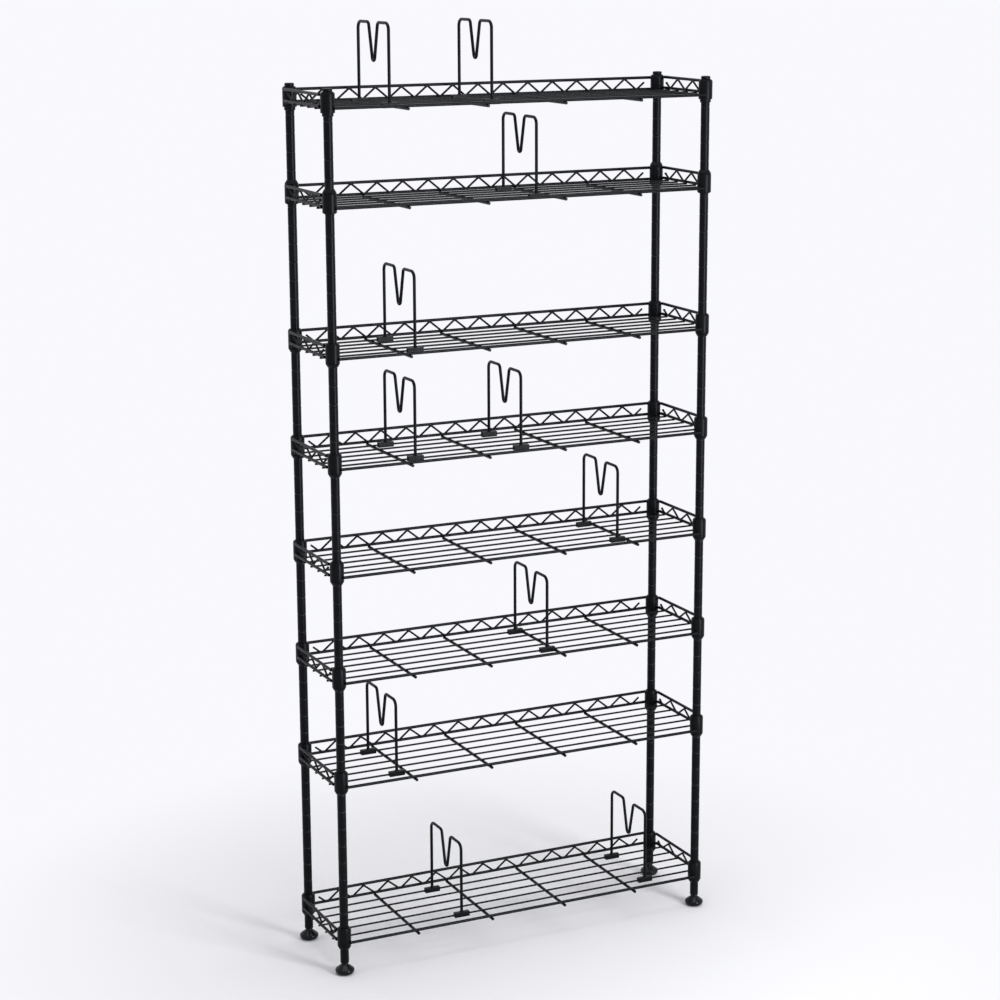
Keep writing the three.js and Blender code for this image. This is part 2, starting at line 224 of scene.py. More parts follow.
class Shell:
    """Corners and faces of one mesh, gathered piece by piece."""

    def __init__(self):
        self.corners = []
        self.faces = []
        self.paints = []

    def add(self, corners, faces, paints=None):
        start = len(self.corners)
        self.corners.extend([tuple(c) for c in corners])
        self.faces.extend([tuple(start + i for i in face) for face in faces])
        self.paints.extend(paints or [0] * len(faces))

    def piece(self, name, materials, sharp_degrees=SHARP_DEGREES):
        mesh = bpy.data.meshes.new(name)
        mesh.from_pydata(self.corners, [], self.faces)
        mesh.polygons.foreach_set("material_index", self.paints)
        mesh.polygons.foreach_set("use_smooth", [True] * len(self.faces))
        for material in materials:
            mesh.materials.append(material)
        mesh.set_sharp_from_angle(angle=math.radians(sharp_degrees))
        mesh.update()
        return place_mesh(name, mesh)


def place_mesh(name, mesh):
    piece = bpy.data.objects.new(name, mesh)
    bpy.context.scene.collection.objects.link(piece)
    return piece


def ring_faces(rings, sides, first=0):
    """Quads between neighbouring rings of corners."""
    faces = []
    for i in range(rings - 1):
        for k in range(sides):
            a = first + i * sides + k
            b = first + i * sides + (k + 1) % sides
            faces.append((a, b, b + sides, a + sides))
    return faces


def wire(shell, path, plane_normal, radius, sides=WIRE_SIDES):
    """Round wire along a flat path, with both ends slightly rounded off."""
    points = [Vector(p) for p in path]
    start = (points[1] - points[0]).normalized()
    finish = (points[-1] - points[-2]).normalized()
    inset = radius * WIRE_END_ROUND_SHARE
    tip = radius * (1 - WIRE_END_ROUND_SHARE)
    ends = points[0] + start * inset, points[-1] - finish * inset
    line = [points[0], ends[0], *points[1:-1], ends[1], points[-1]]
    radii = [tip, *[radius] * (len(line) - 2), tip]
    normal = Vector(plane_normal).normalized()
    corners = []
    last = len(line) - 1
    for i, point in enumerate(line):
        into = (line[max(i, 1)] - line[max(i - 1, 0)]).normalized()
        out = (line[min(i + 1, last)] - line[min(i, last - 1)]).normalized()
        bisector = (into + out).normalized()
        side = bisector.cross(normal)
        stretch = 1 / bisector.dot(into)
        for k in range(sides):
            angle = 2 * math.pi * k / sides
            across = normal * math.cos(angle) + side * (stretch * math.sin(angle))
            corners.append(point + across * radii[i])
    faces = ring_faces(last + 1, sides)
    faces.append(tuple(reversed(range(sides))))
    faces.append(tuple(range(last * sides, (last + 1) * sides)))
    shell.add(corners, faces)


def rounded_path(points, bends, steps=ARC_STEPS):
    """Path through points, each rounded by an arc of its own radius where that isn't zero."""
    path = []
    for i, (point, bend) in enumerate(zip(points, bends)):
        point = Vector(point)
        if bend == 0:
            path.append(point)
            continue
        back = (Vector(points[i - 1]) - point).normalized()
        ahead = (Vector(points[i + 1]) - point).normalized()
        half = back.angle(ahead) / 2
        centre = point + (back + ahead).normalized() * (bend / math.sin(half))
        start = point + back * (bend / math.tan(half)) - centre
        end = point + ahead * (bend / math.tan(half)) - centre
        turn = start.angle(end)
        for step in range(steps + 1):
            share = step / steps
            near = start * (math.sin((1 - share) * turn) / math.sin(turn))
            far = end * (math.sin(share * turn) / math.sin(turn))
            path.append(centre + near + far)
    return path


def turned(shell, profile, centre=(0, 0, 0), segments=TURNED_SEGMENTS, closed=False, painted=()):
    """Solid of revolution about a vertical axis. The profile runs up the outside.

    The bands that start at the painted points of the profile take the second material.
    """
    centre = Vector(centre)
    corners = []
    for radius, height in profile:
        for k in range(segments):
            angle = 2 * math.pi * k / segments
            spot = Vector((radius * math.cos(angle), radius * math.sin(angle), height))
            corners.append(centre + spot)
    faces = ring_faces(len(profile), segments)
    paints = [int(i // segments in painted) for i in range(len(faces))]
    if closed:
        last = (len(profile) - 1) * segments
        for k in range(segments):
            b = (k + 1) % segments
            faces.append((last + k, last + b, b, k))
    else:
        faces.append(tuple(reversed(range(segments))))
        faces.append(tuple(range((len(profile) - 1) * segments, len(profile) * segments)))
    paints += [0] * (len(faces) - len(paints))
    shell.add(corners, faces, paints)


def bead(shell, centre, size, sides=BEAD_SIDES, rows=BEAD_ROWS):
    """Small weld bead: a squashed ball."""
    corners = [(centre[0], centre[1], centre[2] - size[2])]
    for row in range(1, rows):
        tilt = math.pi * row / rows
        for k in range(sides):
            angle = 2 * math.pi * k / sides
            corners.append(
                (
                    centre[0] + size[0] * math.sin(tilt) * math.cos(angle),
                    centre[1] + size[1] * math.sin(tilt) * math.sin(angle),
                    centre[2] - size[2] * math.cos(tilt),
                )
            )
    corners.append((centre[0], centre[1], centre[2] + size[2]))
    top = len(corners) - 1
    faces = ring_faces(rows - 1, sides, first=1)
    for k in range(sides):
        b = (k + 1) % sides
        faces.append((0, 1 + b, 1 + k))
        faces.append((top, top - sides + k, top - sides + b))
    shell.add(corners, faces)


def arc_profile(centre, radius, start_degrees, end_degrees, steps=ARC_STEPS):
    """Points of a round edge in a profile."""
    points = []
    for i in range(steps + 1):
        angle = math.radians(start_degrees + (end_degrees - start_degrees) * i / steps)
        points.append((centre[0] + radius * math.cos(angle), centre[1] + radius * math.sin(angle)))
    return points


# Materials


def new_material(name):
    material = bpy.data.materials.new(name)
    material.use_nodes = True
    tree = material.node_tree
    return material, tree, tree.nodes["Principled BSDF"]


def noise(tree, scale, detail, place):
    texture = tree.nodes.new("ShaderNodeTexNoise")
    texture.inputs["Scale"].default_value = scale
    texture.inputs["Detail"].default_value = detail
    tree.links.new(place, texture.inputs["Vector"])
    return texture.outputs["Fac"]


def between(tree, share, low, high):
    """Number that goes from low to high as the share crosses its range."""
    spread = tree.nodes.new("ShaderNodeMapRange")
    spread.inputs["From Min"].default_value = CLOUD_GLOSS_RANGE[0]
    spread.inputs["From Max"].default_value = CLOUD_GLOSS_RANGE[1]
    spread.inputs["To Min"].default_value = low
    spread.inputs["To Max"].default_value = high
    tree.links.new(share, spread.inputs["Value"])
    return spread.outputs["Result"]


def blended(tree, share, low, high):
    """Colour that goes from low to high as the share crosses its range."""
    ramp = tree.nodes.new("ShaderNodeValToRGB")
    for stop, position, colour in zip(ramp.color_ramp.elements, CLOUD_COLOUR_RANGE, (low, high)):
        stop.position = position
        stop.color = (*colour, 1)
    tree.links.new(share, ramp.inputs["Fac"])
    return ramp.outputs["Color"]


def bumped(tree, shader, height, strength, distance):
    bump = tree.nodes.new("ShaderNodeBump")
    bump.inputs["Strength"].default_value = strength
    bump.inputs["Distance"].default_value = distance
    tree.links.new(height, bump.inputs["Height"])
    tree.links.new(bump.outputs["Normal"], shader.inputs["Normal"])


def finish_material(name, dark, light, smooth, rough, grain, cloud, relief, specular):
    """Black finish with a fine grain in its relief and broad clouds in its gloss and colour."""
    material, tree, shader = new_material(name)
    place = tree.nodes.new("ShaderNodeTexCoord").outputs["Object"]
    clouds = noise(tree, cloud, CLOUD_DETAIL, place)
    fine = noise(tree, grain, GRAIN_DETAIL, place)
    tree.links.new(blended(tree, clouds, dark, light), shader.inputs["Base Color"])
    tree.links.new(between(tree, clouds, smooth, rough), shader.inputs["Roughness"])
    bumped(tree, shader, fine, relief, FINE_RELIEF_DEPTH)
    shader.inputs["Specular IOR Level"].default_value = specular
    shader.inputs["Specular Tint"].default_value = GLOSS_TINT
    return material


def coated_steel():
    return finish_material(
        "coated_steel",
        dark=(0.0008, 0.0009, 0.0012),
        light=(0.0024, 0.0025, 0.0031),
        smooth=0.29,
        rough=0.37,
        grain=1400,
        cloud=60,
        relief=0.03,
        specular=0.11,
    )


def worn_and_highlit_steel():
    """Lighter colour for the upward-facing lower edge of a ring groove: worn coat, and a painted
    highlight where that edge would catch the light.
    """
    return finish_material(
        "worn_and_highlit_steel",
        dark=(0.003, 0.003, 0.0035),
        light=(0.027, 0.027, 0.029),
        smooth=0.3,
        rough=0.4,
        grain=1400,
        cloud=35,
        relief=0.03,
        specular=0.2,
    )


def moulded_plastic():
    return finish_material(
        "black_plastic",
        dark=(0.0010, 0.0010, 0.0013),
        light=(0.0024, 0.0024, 0.0029),
        smooth=0.32,
        rough=0.42,
        grain=2200,
        cloud=90,
        relief=0.04,
        specular=0.12,
    )


def glossy_plastic():
    return finish_material(
        "foot_plastic",
        dark=(0.0015, 0.0015, 0.0019),
        light=(0.0028, 0.0028, 0.0034),
        smooth=0.10,
        rough=0.16,
        grain=900,
        cloud=70,
        relief=0.03,
        specular=0.2,
    )


def zinc():
    material = finish_material(
        "dark_zinc",
        dark=(0.02, 0.02, 0.022),
        light=(0.035, 0.035, 0.037),
        smooth=0.3,
        rough=0.42,
        grain=1800,
        cloud=140,
        relief=0.12,
        specular=0.5,
    )
    material.node_tree.nodes["Principled BSDF"].inputs["Metallic"].default_value = ZINC_METALLIC
    return material


# Places read from the frame


def front_rod_height(number):
    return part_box(f"shelf_{number}")[0].z + COLLAR_BELOW


def post_axis(corner):
    low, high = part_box(f"post_{corner}")
    return (low.x + high.x) / 2, (low.y + high.y) / 2


posts = {corner: post_axis(corner) for corner in CORNERS}
middle_y = (posts["front_left"][1] + posts["back_left"][1]) / 2
half_across = (posts["front_right"][0] - posts["front_left"][0]) / 2
half_deep = (posts["back_left"][1] - posts["front_left"][1]) / 2
rod_offset = COLLAR_RADIUS + ROD_RADIUS - ROD_BITE
rod_y = half_deep + rod_offset
side_x = half_across + rod_offset
cross_level = WELD_BITE - ROD_RADIUS - CROSS_RADIUS
thin_level = cross_level + CROSS_RADIUS + THIN_RADIUS - WELD_BITE
side_level = thin_level + THIN_RADIUS + ROD_RADIUS - WELD_BITE
back_rail = COLLAR_ABOVE - BACK_RAIL_DROP
side_rail = COLLAR_ABOVE - SIDE_RAIL_DROP
thin_pitch = 2 * rod_y / (THIN_WIRES + 1)
outer_thin_y = thin_pitch * (THIN_WIRES - 1) / 2
cross_pitch = 2 * half_across / (CROSS_BAYS - 2 + 2 * END_BAY_SHARE)
truss_inset = ROD_RADIUS + TRUSS_RADIUS - TRUSS_BITE


# One shelf, about the middle of its plan and its front rod's centre line


def add_collar(shell, x, y):
    inner = COLLAR_RADIUS - COLLAR_WALL
    rim = [
        (COLLAR_RADIUS - inwards * COLLAR_CHAMFER, COLLAR_ABOVE - down * COLLAR_CHAMFER)
        for inwards, down in COLLAR_RIM
    ]
    profile = [
        (inner, -COLLAR_BELOW + COLLAR_EDGE),
        (inner + COLLAR_EDGE, -COLLAR_BELOW),
        (COLLAR_RADIUS - COLLAR_EDGE, -COLLAR_BELOW),
        (COLLAR_RADIUS, -COLLAR_BELOW + COLLAR_EDGE),
        *rim,
        (inner + COLLAR_EDGE / 2, COLLAR_ABOVE),
        (inner, COLLAR_ABOVE - COLLAR_EDGE),
    ]
    turned(shell, profile, (x, y, 0), closed=True)


def add_frame_rods(shell):
    end_x = half_across - ROD_END_INSET
    end_y = half_deep - ROD_END_INSET
    for y, z in ((-rod_y, 0), (rod_y, 0), (rod_y, back_rail)):
        wire(shell, [(-end_x, y, z), (end_x, y, z)], UP, ROD_RADIUS)
        for x in (-end_x, end_x):
            near = math.copysign(rod_offset - ROD_RADIUS, y)
            seat = (x + math.copysign(ROD_BEAD_INSET, -x), math.copysign(half_deep, y) + near, z)
            bead(shell, seat, FRONT_ROD_BEAD if y < 0 else BACK_ROD_BEAD)
    for x in (-side_x, side_x):
        for z in (side_level, side_rail):
            wire(shell, [(x, -end_y, z), (x, end_y, z)], UP, ROD_RADIUS)
            for y in (-end_y, end_y):
                near = math.copysign(half_across + rod_offset - ROD_RADIUS, x)
                bead(shell, (near, y + math.copysign(ROD_BEAD_INSET, -y), z), SIDE_ROD_BEAD)


def add_floor_wires(shell):
    thin_end = side_x + THIN_OVERHANG
    thin_ys = [outer_thin_y - i * thin_pitch for i in range(THIN_WIRES)]
    seam_level = (thin_level + THIN_RADIUS + side_level - ROD_RADIUS) / 2
    for y in thin_ys:
        wire(shell, [(-thin_end, y, thin_level), (thin_end, y, thin_level)], UP, THIN_RADIUS)
        for x in (-side_x, side_x):
            bead(shell, (x, y, seam_level), THIN_END_BEAD)
    front = -rod_y - CROSS_OVERHANG_FRONT
    back = rod_y + CROSS_OVERHANG_BACK
    cross_top = cross_level + CROSS_RADIUS
    for i in range(1, CROSS_BAYS):
        x = (i - CROSS_BAYS / 2) * cross_pitch
        wire(shell, [(x, front, cross_level), (x, back, cross_level)], UP, CROSS_RADIUS)
        for y in thin_ys:
            bead(shell, (x, y, cross_top - THIN_CROSS_BEAD_DROP), THIN_CROSS_BEAD)
        for y in (-rod_y, rod_y):
            bead(shell, (x, y, cross_top - ROD_CROSS_BEAD_DROP), ROD_CROSS_BEAD)


def zigzag(start, half_period, count, valley, peak):
    """Distances and heights of the bends of a truss wire, beginning with a valley."""
    return [(start + i * half_period, valley if i % 2 == 0 else peak) for i in range(count)]


def truss_wire(shell, points, normal):
    bends = [0, *[TRUSS_BEND] * (len(points) - 2), 0]
    wire(shell, rounded_path(points, bends, TRUSS_BEND_STEPS), normal, TRUSS_RADIUS, TRUSS_SIDES)


def add_back_truss(shell):
    half_period = cross_pitch / TRUSS_PERIODS_PER_BAY / 2
    valley = BACK_TRUSS_VALLEY
    peak = back_rail - TRUSS_PEAK_DROP
    last = CROSS_BAYS * TRUSS_PERIODS_PER_BAY - 2
    bends = zigzag(-last * half_period, half_period, 2 * last + 1, valley, peak)
    tick = half_period * TICK_SHARE
    tick_height = valley + (peak - valley) * TICK_SHARE
    outline = [(bends[0][0] - tick, tick_height), *bends, (bends[-1][0] + tick, tick_height)]
    y = rod_y - truss_inset
    truss_wire(shell, [(x, y, z) for x, z in outline], (0, 1, 0))
    size = (TRUSS_BEAD_LONG, TRUSS_BEAD_THICK, TRUSS_BEAD_HIGH)
    for x, z in bends:
        seat = TRUSS_BEAD_ABOVE_ROD if z == valley else back_rail - TRUSS_BEAD_BELOW_RAIL
        bead(shell, (x, y + TRUSS_RADIUS - TRUSS_BEAD_SINK, seat), size, **SMALL_BEAD)


def add_side_truss(shell, side):
    """Zigzag of one side, free near the front on the left and near the back on the right."""
    half_period = half_deep / SIDE_TRUSS_PERIODS
    valley = side_level + SIDE_TRUSS_VALLEY_RISE
    peak = side_rail - TRUSS_PEAK_DROP
    rise = peak - valley
    count = 2 * math.floor(SIDE_TRUSS_PERIODS) - 1
    bends = zigzag(SIDE_TRUSS_START_SHARE * half_period, half_period, count, valley, peak)
    x = side * (side_x - truss_inset)
    start = (bends[0][0] - half_period * SIDE_TICK_SHARE, valley + rise * SIDE_TICK_SHARE)
    run = 2 * half_deep - COLLAR_REACH
    end = (run, valley + rise * (run - bends[-1][0]) / half_period)
    points = [(x, side * (half_deep - d), z) for d, z in [start, *bends, end]]
    truss_wire(shell, points, (1, 0, 0))
    bead(shell, points[0], TRUSS_END_BEAD, **LARGE_BEAD)
    size = (TRUSS_BEAD_THICK, TRUSS_BEAD_LONG, TRUSS_BEAD_HIGH)
    for d, z in bends:
        level = side_level + TRUSS_BEAD_ABOVE_ROD if z == valley else side_rail - TRUSS_BEAD_BELOW_RAIL
        seat = (x + side * (TRUSS_RADIUS - TRUSS_BEAD_SINK), side * (half_deep - d), level)
        bead(shell, seat, size, **SMALL_BEAD)


def make_shelves(steel):
    shell = Shell()
    for x in (-half_across, half_across):
        for y in (-half_deep, half_deep):
            add_collar(shell, x, y)
    add_frame_rods(shell)
    add_floor_wires(shell)
    add_back_truss(shell)
    add_side_truss(shell, -1)
    add_side_truss(shell, 1)
    first = shell.piece("wire_shelf_1", [steel])
    pieces = [first]
    for number in list(SHELVES)[1:]:
        pieces.append(place_mesh(f"wire_shelf_{number}", first.data))
    for number, piece in zip(SHELVES, pieces):
        piece.location = (0, middle_y, front_rod_height(number))
        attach(piece, "root")
        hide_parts(f"shelf_{number}")


# Posts with their caps and inserts


def groove_heights(bottom, top):
    """Heights of the ring grooves between two heights, in step with the shelves."""
    pitch = (front_rod_height(3) - front_rod_height(7)) / GROOVES_SHELF_3_TO_7
    one = front_rod_height(7) + GROOVE_ABOVE_ROD
    first = math.ceil((bottom - one) / pitch)
    last = math.floor((top - one) / pitch)
    return [one + i * pitch for i in range(first, last + 1)]


def tube_profile(bottom, top):
    """Grooved tube with rolled ends, and where in the profile the lower edges of its grooves start;
    those edges take the lighter colour of worn coat and painted highlight.
    """
    bore = POST_RADIUS - POST_WALL
    rolled = POST_RADIUS - POST_END_ROUND
    profile = [(bore, top), (bore, bottom + POST_END_ROUND)]
    profile += [(bore + POST_EDGE, bottom), (rolled, bottom)]
    centre = (rolled, bottom + POST_END_ROUND)
    profile += arc_profile(centre, POST_END_ROUND, -POST_END_ROUND_DEGREES, 0, EDGE_STEPS)
    half = GROOVE_WIDTH / 2
    shoulder = POST_RADIUS - GROOVE_SHOULDER_SHARE * GROOVE_DEPTH
    worn_and_highlit = []
    for height in groove_heights(bottom + 2 * GROOVE_WIDTH, top - 2 * GROOVE_WIDTH):
        # The upward-facing lower edge of each groove gets the lighter colour: worn coat plus a painted
        # highlight.
        worn_and_highlit += [len(profile) + 1, len(profile) + 2]
        profile += [
            (POST_RADIUS, height - half - GROOVE_MARGIN),
            (POST_RADIUS, height - half - GROOVE_LIP),
            (shoulder, height - half),
            (POST_RADIUS - GROOVE_DEPTH, height - half + GROOVE_SLOPE),
            (POST_RADIUS - GROOVE_DEPTH, height + half - GROOVE_SLOPE),
            (shoulder, height + half),
            (POST_RADIUS, height + half + GROOVE_LIP),
            (POST_RADIUS, height + half + GROOVE_MARGIN),
        ]
    profile += [(POST_RADIUS, top - POST_EDGE), (POST_RADIUS - POST_EDGE, top)]
    return profile, worn_and_highlit


def cap_profile(bottom, top):
    rim = POST_RADIUS + CAP_LIP
    crown = arc_profile((rim - CAP_ROUND, top - CAP_ROUND - CAP_EDGE), CAP_ROUND, 0, CAP_ROUND_DEGREES)
    profile = [(rim - CAP_EDGE, bottom), (rim, bottom + CAP_EDGE), *crown]
    return profile + [(rim * CAP_CROWN_SHARE, top - CAP_CROWN_DROP), (rim * CAP_TOP_SHARE, top)]


def insert_profile(bottom):
    plug = POST_RADIUS - POST_WALL
    face = bottom + INSERT_INSET
    top = bottom + INSERT_LENGTH
    return [
        (INSERT_BORE, top),
        (INSERT_BORE, face + INSERT_CHAMFER),
        (INSERT_BORE + INSERT_INSET + INSERT_CHAMFER, face),
        (plug, face),
        (plug, top),
    ]


def make_posts(steel, worn_and_highlit, plastic, metal):
    for corner, (x, y) in posts.items():
        low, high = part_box(f"post_{corner}")
        tube_top = high.z - CAP_HEIGHT
        shell = Shell()
        profile, edges = tube_profile(low.z, tube_top)
        turned(shell, profile, (x, y, 0), closed=True, painted=edges)
        # The second material paints a highlight, together with wear, on the grooves' lower edges.
        tube = shell.piece(f"post_tube_{corner}", [steel, worn_and_highlit], TUBE_SHARP_DEGREES)
        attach(tube, "root")
        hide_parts(f"post_{corner}")

        cap = Shell()
        turned(cap, cap_profile(tube_top, high.z), (x, y, 0))
        piece = cap.piece(f"post_cap_{corner}", [plastic])
        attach(piece, "root")

        insert = Shell()
        turned(insert, insert_profile(low.z), (x, y, 0), closed=True)
        piece = insert.piece(f"post_insert_{corner}", [metal])
        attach(piece, "root")


# Split sleeves


def half_turned(shell, profile, centre, start, finish, segments):
    """Part of a solid of revolution between two angles, with its cut faces closed."""
    centre = Vector(centre)
    corners = []
    rows = len(profile)
    for k in range(segments + 1):
        angle = start + (finish - start) * k / segments
        for radius, height in profile:
            spot = Vector((radius * math.cos(angle), radius * math.sin(angle), height))
            corners.append(centre + spot)
    faces = []
    for k in range(segments):
        for i in range(rows):
            a = k * rows + i
            b = k * rows + (i + 1) % rows
            faces.append((a, a + rows, b + rows, b))
    faces.append(tuple(range(rows)))
    faces.append(tuple(reversed(range(segments * rows, (segments + 1) * rows))))
    shell.add(corners, faces)


def sleeve_profile(low, high, number):
    """Outline of a sleeve's wall from its lowest to its highest level, counter-clockwise."""
    edge = SLEEVE_EDGE
    rim = [(SLEEVE_OUTER - inwards * edge, high - down * edge) for inwards, down in SLEEVE_RIM]
    rim += [(SLEEVE_INNER + edge, high), (SLEEVE_INNER, high - edge)]
    if number == 1:
        shoulder = front_rod_height(1) - COLLAR_BELOW
        step = [
            (TOP_SLEEVE_STEP_RADIUS - TOP_SLEEVE_CHAMFER, low),
            (TOP_SLEEVE_STEP_RADIUS, low + 1.2 * TOP_SLEEVE_CHAMFER),
            (TOP_SLEEVE_STEP_RADIUS, shoulder),
            (SLEEVE_OUTER, shoulder),
        ]
        return [(SLEEVE_INNER, low), *step, *rim]
    flare = [
        (SLEEVE_LIP - edge, low),
        (SLEEVE_LIP, low + edge),
        (SLEEVE_FLARE_RADIUS - 0.4 * edge, low + SLEEVE_TAPER - 1.5 * edge),
        (SLEEVE_FLARE_RADIUS, low + SLEEVE_TAPER - 0.5 * edge),
        (SLEEVE_FLARE_RADIUS, low + SLEEVE_TAPER),
        (SLEEVE_OUTER, low + SLEEVE_TAPER),
    ]
    outline = [(SLEEVE_INNER, low), *flare, *rim]
    if number != 2:
        return outline
    return [(radius, low + high - height) for radius, height in reversed(outline)]


def make_sleeves(plastic):
    seam = SLEEVE_SEAM / 2 / SLEEVE_OUTER
    sweep = math.pi - 2 * seam
    for number in SHELVES:
        for corner, (x, y) in posts.items():
            node = f"sleeve_{number}_{corner}"
            low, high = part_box(node)
            shell = Shell()
            profile = sleeve_profile(low.z, high.z, number)
            for start in (seam, math.pi + seam):
                half_turned(shell, profile, (x, y, 0), start, start + sweep, SLEEVE_SEGMENTS)
            piece = shell.piece(f"half_sleeves_{number}_{corner}", [plastic])
            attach(piece, "root")
            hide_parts(node)


# Feet


def foot_profile(low, high, post_end):
    """Moulded bowl with a sloping top, nut neck and threaded stud, and where the stud starts."""
    rim = low + FOOT_RIM_HEIGHT
    base = FOOT_RADIUS - FOOT_RIM_HEIGHT
    top = low + FOOT_HEIGHT
    neck = NUT_RADIUS - FOOT_NECK_STEP
    nut_top = post_end - NUT_GAP
    sole = base - FOOT_BASE_INSET
    profile = [(sole - FOOT_BASE_CHAMFER, low + FOOT_HOLLOW), (sole, low)]
    profile += arc_profile((base, rim), FOOT_RIM_HEIGHT, -90, 0, FOOT_RIM_STEPS)
    shoulder = (FOOT_RADIUS - FOOT_SHOULDER_ROUND, rim)
    arc = arc_profile(shoulder, FOOT_SHOULDER_ROUND, 0, FOOT_SHOULDER_DEGREES, FOOT_SHOULDER_STEPS)
    profile += arc[1:]
    profile += [(NUT_RADIUS + FOOT_COLLAR_EDGE, top - FOOT_COLLAR_EDGE), (neck, top + FOOT_NECK_RISE)]
    profile += [(neck, nut_top - NUT_CHAMFER), (neck - NUT_CHAMFER, nut_top)]
    stud = len(profile)
    profile += [(STUD_RADIUS, nut_top)]
    height = post_end
    while height < high - THREAD_PITCH:
        profile += [(STUD_RADIUS, height), (STUD_RADIUS - THREAD_DEPTH, height + THREAD_PITCH / 2)]
        height += THREAD_PITCH
    profile += [(STUD_RADIUS - THREAD_DEPTH, high)]
    return profile, stud


def make_feet(gloss, metal):
    for corner, (x, y) in posts.items():
        node = f"foot_{corner}"
        low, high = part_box(node)
        post_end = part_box(f"post_{corner}")[0].z
        shell = Shell()
        profile, stud = foot_profile(low.z, high.z, post_end)
        turned(shell, profile, (x, y, 0), FOOT_SEGMENTS, painted=range(stud, len(profile)))
        piece = shell.piece(f"levelling_foot_{corner}", [gloss, metal], FOOT_SHARP_DEGREES)
        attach(piece, node)
        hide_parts(node)


# Dividers


def divider_wire(root_level):
    """Two humps and a notch, about the middle of the shelf and its front rod's centre line."""
    leg = outer_thin_y
    crown = thin_level + DIVIDER_HEIGHT
    notch = leg - 2 * leg * DIVIDER_HUMP_SHARE
    points = [
        (0, -leg, root_level),
        (0, -leg, crown),
        (0, -notch, crown),
        (0, 0, crown - DIVIDER_NOTCH_DEPTH),
        (0, notch, crown),
        (0, leg, crown),
        (0, leg, root_level),
    ]
    hump = [DIVIDER_SHOULDER, DIVIDER_INNER_BEND]
    bends = [0, *hump, DIVIDER_NOTCH_BEND, *reversed(hump), 0]
    shell = Shell()
    wire(shell, rounded_path(points, bends, DIVIDER_BEND_STEPS), (1, 0, 0), DIVIDER_RADIUS)
    return shell


def clip_outline(inset):
    """Section of a clip across its wire: a rounded block with a snap slot, open below."""
    slot = THIN_RADIUS + CLIP_CLEARANCE
    outer = slot + CLIP_WALL - inset
    top = slot + CLIP_ROOF - inset
    bottom = -THIN_RADIUS - CLIP_SKIRT + inset
    right = outer - CLIP_EDGE
    low = bottom + CLIP_EDGE
    high = top - CLIP_EDGE
    outline = []
    for turn, centre in enumerate(((right, low), (right, high), (-right, high), (-right, low))):
        outline += arc_profile(centre, CLIP_EDGE, 90 * turn - 90, 90 * turn, EDGE_STEPS)
    outline += [(-slot - CLIP_LIP, bottom), (-slot + CLIP_LIP, -THIN_RADIUS)]
    outline += arc_profile((0, 0), slot, *CLIP_SLOT_DEGREES, CLIP_SLOT_STEPS)
    outline += [(slot - CLIP_LIP, -THIN_RADIUS), (slot + CLIP_LIP, bottom)]
    return outline


def add_clip(shell, y):
    edge = CLIP_END_EDGE
    half = CLIP_LENGTH / 2
    stations = [(-half, edge), (-half + edge, 0), (half - edge, 0), (half, edge)]
    rows = len(clip_outline(0))
    corners = []
    for x, inset in stations:
        corners += [(x, y + across, thin_level + height) for across, height in clip_outline(inset)]
    faces = []
    for s in range(len(stations) - 1):
        for i in range(rows):
            a = s * rows + i
            b = s * rows + (i + 1) % rows
            faces.append((a, b, b + rows, a + rows))
    faces.append(tuple(reversed(range(rows))))
    faces.append(tuple(range((len(stations) - 1) * rows, len(stations) * rows)))
    shell.add(corners, faces)
    roof = thin_level + THIN_RADIUS + CLIP_CLEARANCE + CLIP_ROOF
    in_by, down_by = CLIP_BOSS_CHAMFER
    boss_top = roof + CLIP_BOSS_HEIGHT
    boss = [
        (CLIP_BOSS, roof - CLIP_BOSS_SINK),
        (CLIP_BOSS, boss_top - down_by),
        (CLIP_BOSS - in_by, boss_top),
    ]
    turned(shell, boss, (0, y, 0), CLIP_BOSS_SEGMENTS)


def make_dividers(steel, plastic):
    names = sorted(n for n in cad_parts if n.startswith("divider_"))
    wires = divider_wire(thin_level + THIN_RADIUS + CLIP_CLEARANCE + CLIP_ROOF / 2)
    clips = Shell()
    add_clip(clips, -outer_thin_y)
    add_clip(clips, outer_thin_y)
    wire_mesh = clip_mesh = None
    for name in names:
        low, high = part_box(name)
        level = front_rod_height(int(name.split("_")[1]))
        place = ((low.x + high.x) / 2, middle_y, level)
        tail = name.removeprefix("divider_")
        if wire_mesh is None:
            bent = wires.piece(f"divider_wire_{tail}", [steel])
            pair = clips.piece(f"divider_clips_{tail}", [plastic])
            wire_mesh, clip_mesh = bent.data, pair.data
        else:
            bent = place_mesh(f"divider_wire_{tail}", wire_mesh)
            pair = place_mesh(f"divider_clips_{tail}", clip_mesh)
        bent.location = place
        pair.location = place
        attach(bent, name)
        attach(pair, name)
        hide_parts(name)


# Studio: floor, world, lamps and camera

BACKDROP = (0.947, 0.947, 0.985)
AMBIENT = 0.4
FLOOR_SIZE = 30.0
FLOOR_FADE_START = 0.3
FLOOR_FADE_END = 0.9
FLOOR_ROUGHNESS = 0.7
FLOOR_GLOSS = 0.1
LAMP_TARGET = (0, 0, 0.7)


def multiplied(tree, first, second):
    product = tree.nodes.new("ShaderNodeMath")
    product.operation = "MULTIPLY"
    tree.links.new(first, product.inputs[0])
    tree.links.new(second, product.inputs[1])
    return product.outputs[0]


def seen_or_reflected(tree):
    """One where a ray comes from the camera, a glossy surface or glass, zero where it only lights."""
    path = tree.nodes.new("ShaderNodeLightPath")
    total = path.outputs["Is Camera Ray"]
    for name in ("Is Glossy Ray", "Is Transmission Ray"):
        larger = tree.nodes.new("ShaderNodeMath")
        larger.operation = "MAXIMUM"
        tree.links.new(total, larger.inputs[0])
        tree.links.new(path.outputs[name], larger.inputs[1])
        total = larger.outputs[0]
    return total


